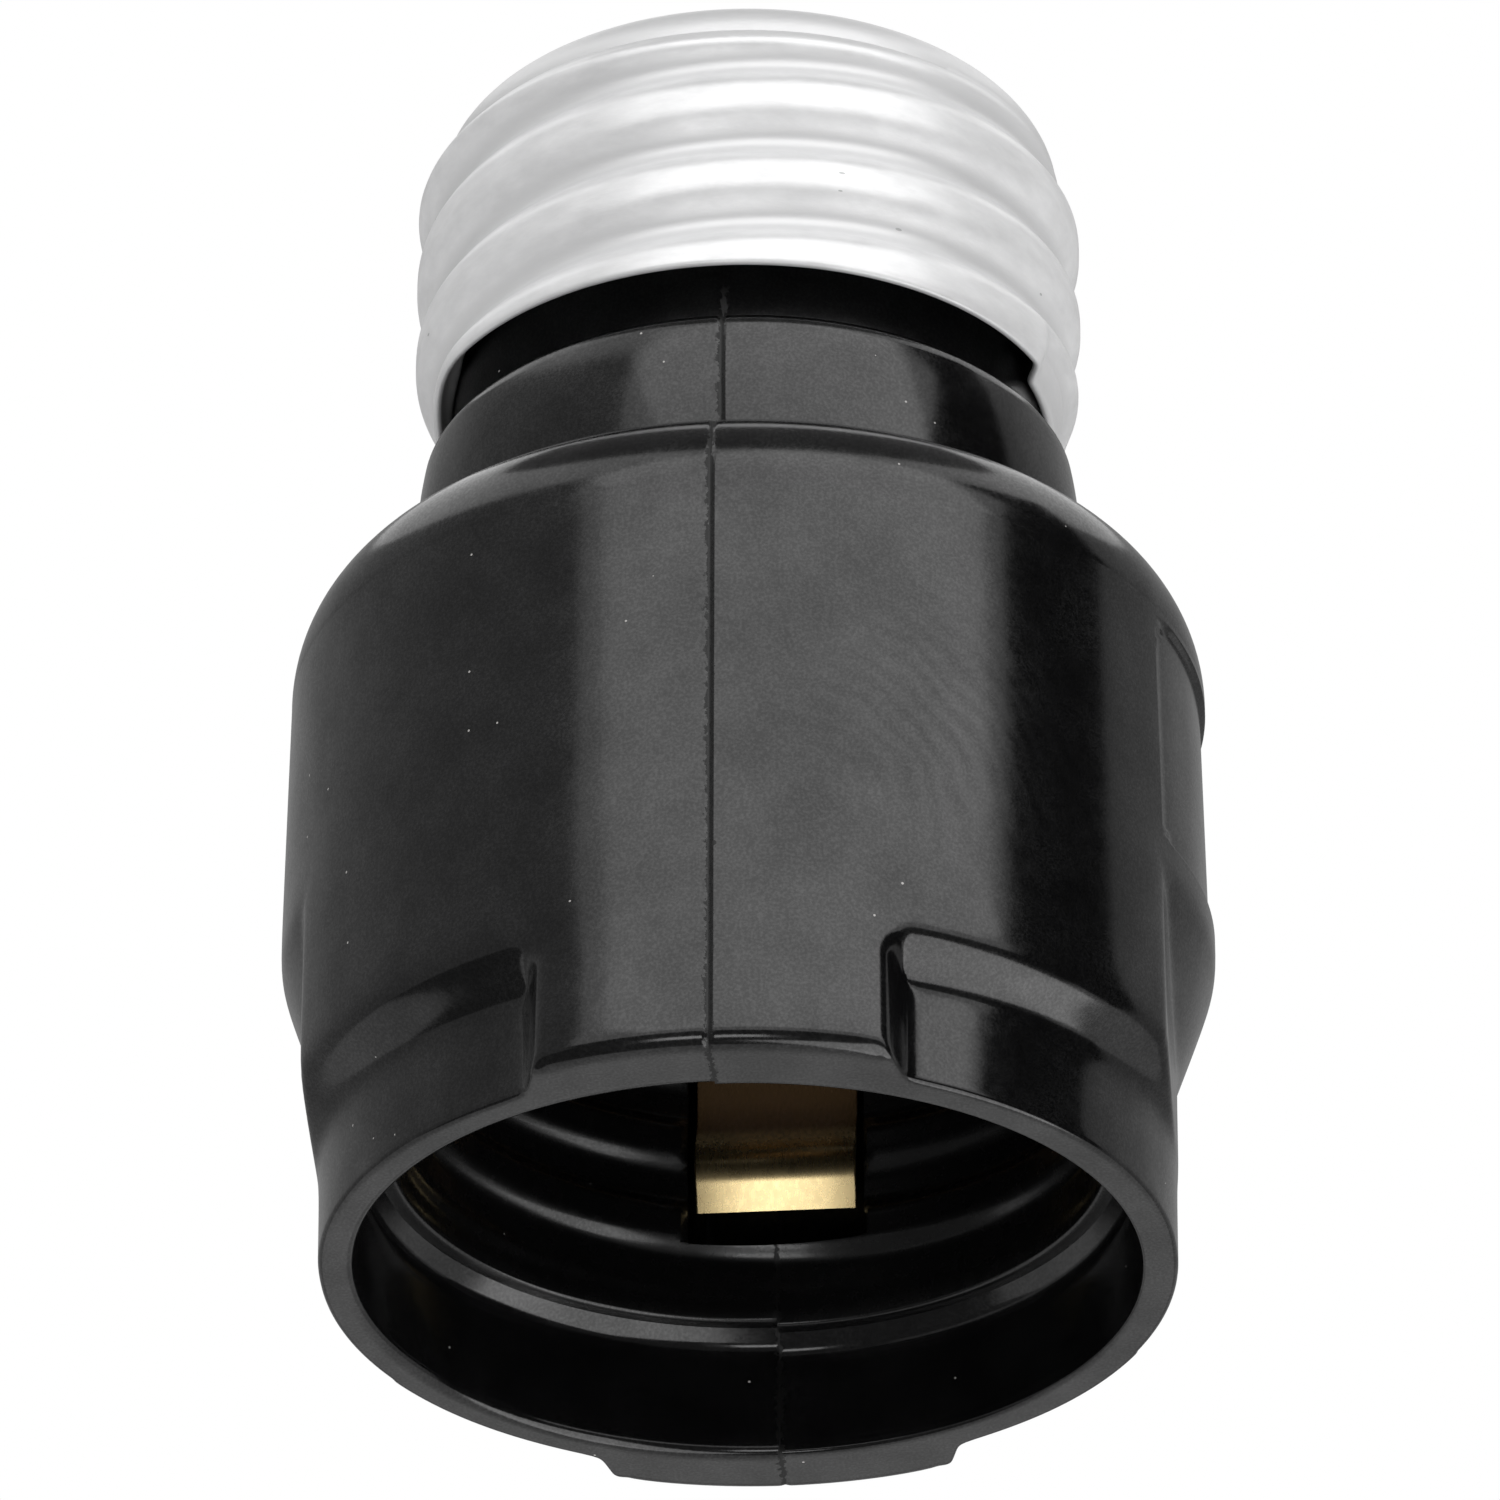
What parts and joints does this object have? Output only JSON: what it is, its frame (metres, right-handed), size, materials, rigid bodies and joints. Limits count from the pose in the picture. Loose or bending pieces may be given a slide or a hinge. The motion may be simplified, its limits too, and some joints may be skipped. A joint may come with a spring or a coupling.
{
  "type": "lamp socket adapter",
  "caption": "Lamp socket adapter: a threaded metal screw shell on a black moulded body in halves, with an open threaded socket below that takes a lamp cap.",
  "frame": {"origin": "centre of the mouth's rim, on the plane that the rim stands on", "axes": "+Z along the screw axis, from the mouth up to the tip contact; -Y towards the front seam of the two halves; +Y towards the side contact; the halves part at x = 0"},
  "size_m": [0.0356, 0.036, 0.0546],
  "materials": {
    "moulded_body": "satin black moulding",
    "shell_metal": "satin rolled sheet",
    "contact_brass": "bright strip",
    "spring_steel": "drawn wire"
  },
  "bodies": {
    "body": {"left_body_half": "moulded_body", "right_body_half": "moulded_body", "screw_shell": "shell_metal", "tip_contact": "contact_brass", "contact_spring": "spring_steel"},
    "side_contact": {"side_contact": "contact_brass"},
    "centre_plunger": {"centre_plunger": "contact_brass"}
  },
  "joints": [
    {"name": "side_contact_bend", "type": "hinge", "parent": "body", "child": "side_contact", "pos_m": [0, 0.0105, 0.0416], "axis": [1, 0, 0], "range_deg": [0, 2], "stiffness_Nm_per_rad": 1.2},
    {"name": "plunger_slide", "type": "slide", "parent": "body", "child": "centre_plunger", "axis": [0, 0, 1], "range_m": [0, 0.0018], "stiffness_N_per_m": 1200, "springref_m": -0.0015, "deforming": ["contact_spring"]}
  ]
}
